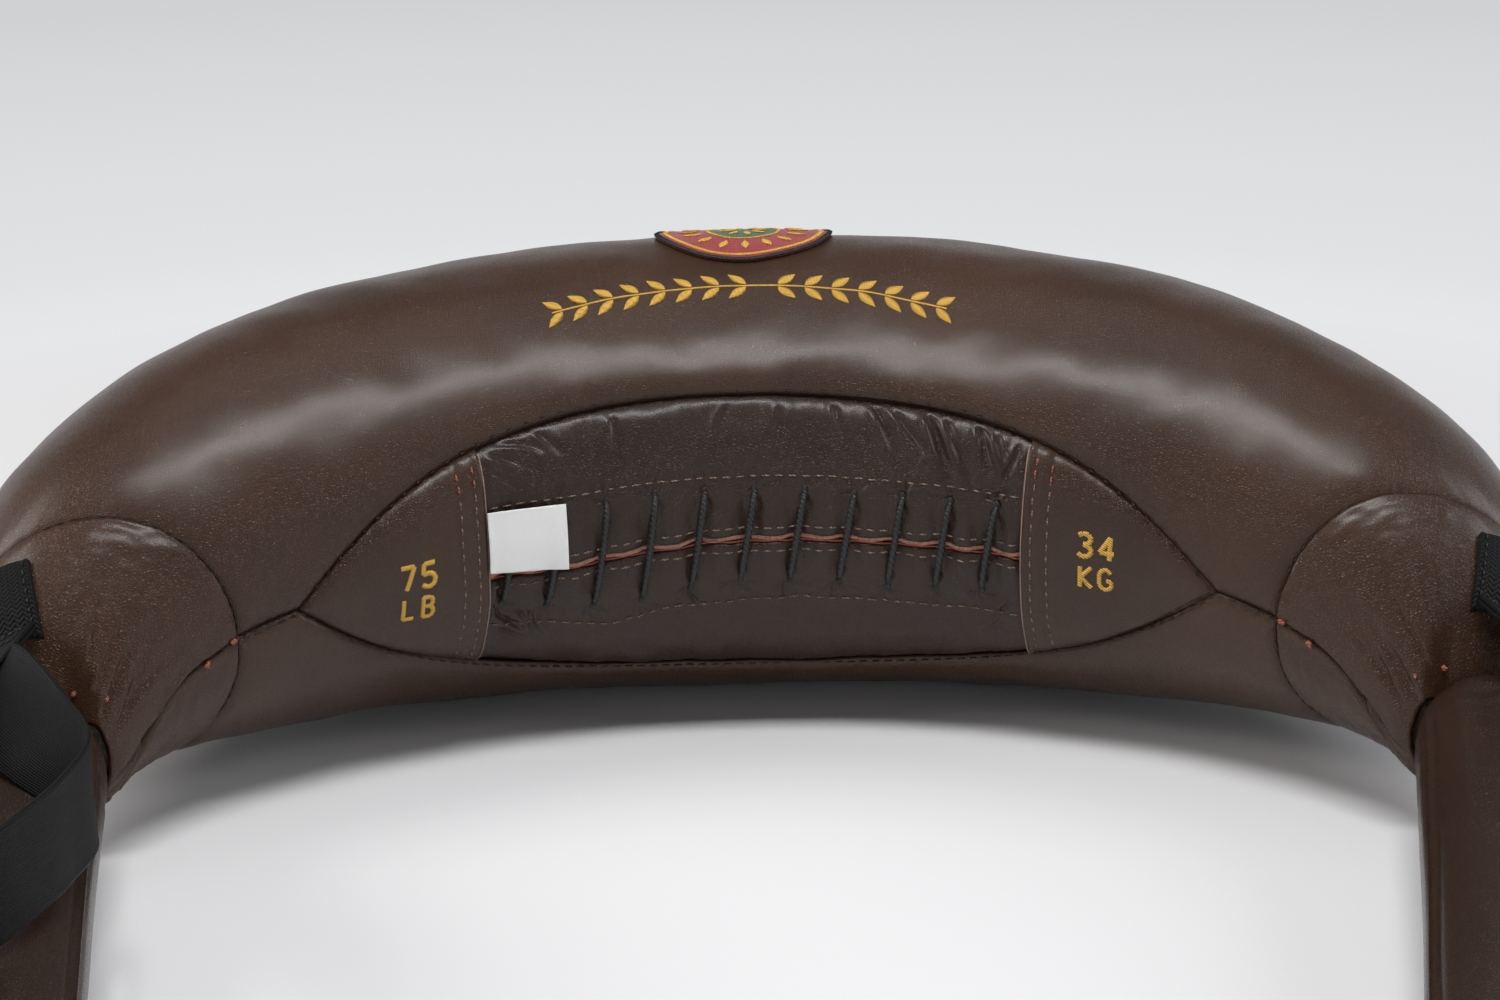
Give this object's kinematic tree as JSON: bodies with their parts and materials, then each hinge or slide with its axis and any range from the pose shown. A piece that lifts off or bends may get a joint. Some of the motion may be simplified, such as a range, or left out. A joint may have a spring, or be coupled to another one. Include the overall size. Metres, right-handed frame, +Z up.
{
  "type": "bulgarian bag",
  "caption": "Crescent leather training bag filled with sand and wool, laced shut on its inner curve, with stuffed leather arms and webbing strap loops that swing and lift.",
  "frame": {"origin": "on the floor, in the middle of the bag's length and depth", "axes": "+X to the bag's right, along the crescent's length; +Y to its back; +Z up; the arms point to -Y"},
  "size_m": [0.7418, 0.6148, 0.2294],
  "materials": {
    "leather": "dark brown, fine grain, soft sheen",
    "suede": "raw reddish flesh side",
    "webbing": "black woven webbing, lengthwise ribs",
    "lace": "black waxed braided cord",
    "label": "white satin cloth, blank",
    "badge": "embroidered thread, satin",
    "wool": "loose grey wool wadding",
    "canvas": "tight woven natural canvas"
  },
  "bodies": {
    "bag": {"badge": "badge", "bottom_panel": "leather", "lace": "lace", "left_closure_wing": "leather", "left_sand_sleeve": "canvas", "left_strap_band": "webbing", "left_tip_lower_panel": "leather", "left_tip_upper_panel": "leather", "left_tip_wool": "wool", "lower_facing": "suede", "lower_laced_flap": "leather", "middle_sand_sleeve": "canvas", "right_closure_wing": "leather", "right_sand_sleeve": "canvas", "right_strap_band": "webbing", "right_tip_lower_panel": "leather", "right_tip_upper_panel": "leather", "right_tip_wool": "wool", "top_panel": "leather", "upper_facing": "suede", "upper_laced_flap": "leather", "wool_wadding": "wool"},
    "label_flap": {"label": "label"},
    "left_neck": {"left_neck_wool": "wool"},
    "left_arm": {"left_arm_cover": "leather", "left_arm_core": "wool", "left_arm_cap": "leather"},
    "left_tab": {"left_strap_tab": "webbing"},
    "left_loop": {"left_strap_loop": "webbing"},
    "right_neck": {"right_neck_wool": "wool"},
    "right_arm": {"right_arm_cover": "leather", "right_arm_core": "wool", "right_arm_cap": "leather"},
    "right_tab": {"right_strap_tab": "webbing"},
    "right_loop": {"right_strap_loop": "webbing"}
  },
  "joints": [
    {"name": "left_arm_swing", "type": "hinge", "parent": "bag", "child": "left_neck", "pos_m": [-0.32228, -0.05291, 0.0509], "axis": [0, 0, 1], "range_deg": [-3, 20]},
    {"name": "left_arm_lift", "type": "hinge", "parent": "left_neck", "child": "left_arm", "pos_m": [-0.32228, -0.05291, 0.0509], "axis": [-0.9871, -0.1599, 0], "range_deg": [0, 35]},
    {"name": "left_strap_carry", "type": "hinge", "parent": "left_neck", "child": "left_tab", "pos_m": [-0.32176, -0.01952, 0.11203], "axis": [-0.9871, -0.1599, 0], "range_deg": [0, 35]},
    {"name": "left_strap_flip", "type": "hinge", "parent": "left_tab", "child": "left_loop", "pos_m": [-0.32408, -0.03978, 0.11203], "axis": [-0.9935, 0.1137, 0], "range_deg": [0, 70]},
    {"name": "right_arm_swing", "type": "hinge", "parent": "bag", "child": "right_neck", "pos_m": [0.32228, -0.05291, 0.0509], "axis": [0, 0, -1], "range_deg": [-3, 20]},
    {"name": "right_arm_lift", "type": "hinge", "parent": "right_neck", "child": "right_arm", "pos_m": [0.32228, -0.05291, 0.0509], "axis": [-0.9632, 0.2689, 0], "range_deg": [0, 35]},
    {"name": "right_strap_carry", "type": "hinge", "parent": "right_neck", "child": "right_tab", "pos_m": [0.32176, -0.01952, 0.11203], "axis": [-0.9632, 0.2689, 0], "range_deg": [0, 35]},
    {"name": "right_strap_flip", "type": "hinge", "parent": "right_tab", "child": "right_loop", "pos_m": [0.32408, -0.03978, 0.11203], "axis": [-0.9935, -0.1137, 0], "range_deg": [0, 70]},
    {"name": "label_flip", "type": "hinge", "parent": "bag", "child": "label_flap", "pos_m": [-0.12589, 0.05908, 0.11559], "axis": [0.0164, -0.0366, -0.9992], "range_deg": [0, 150]}
  ],
  "couplings": [
    {"joint": "left_strap_carry", "follows": "left_arm_lift", "ratio": 1},
    {"joint": "right_strap_carry", "follows": "right_arm_lift", "ratio": 1}
  ]
}
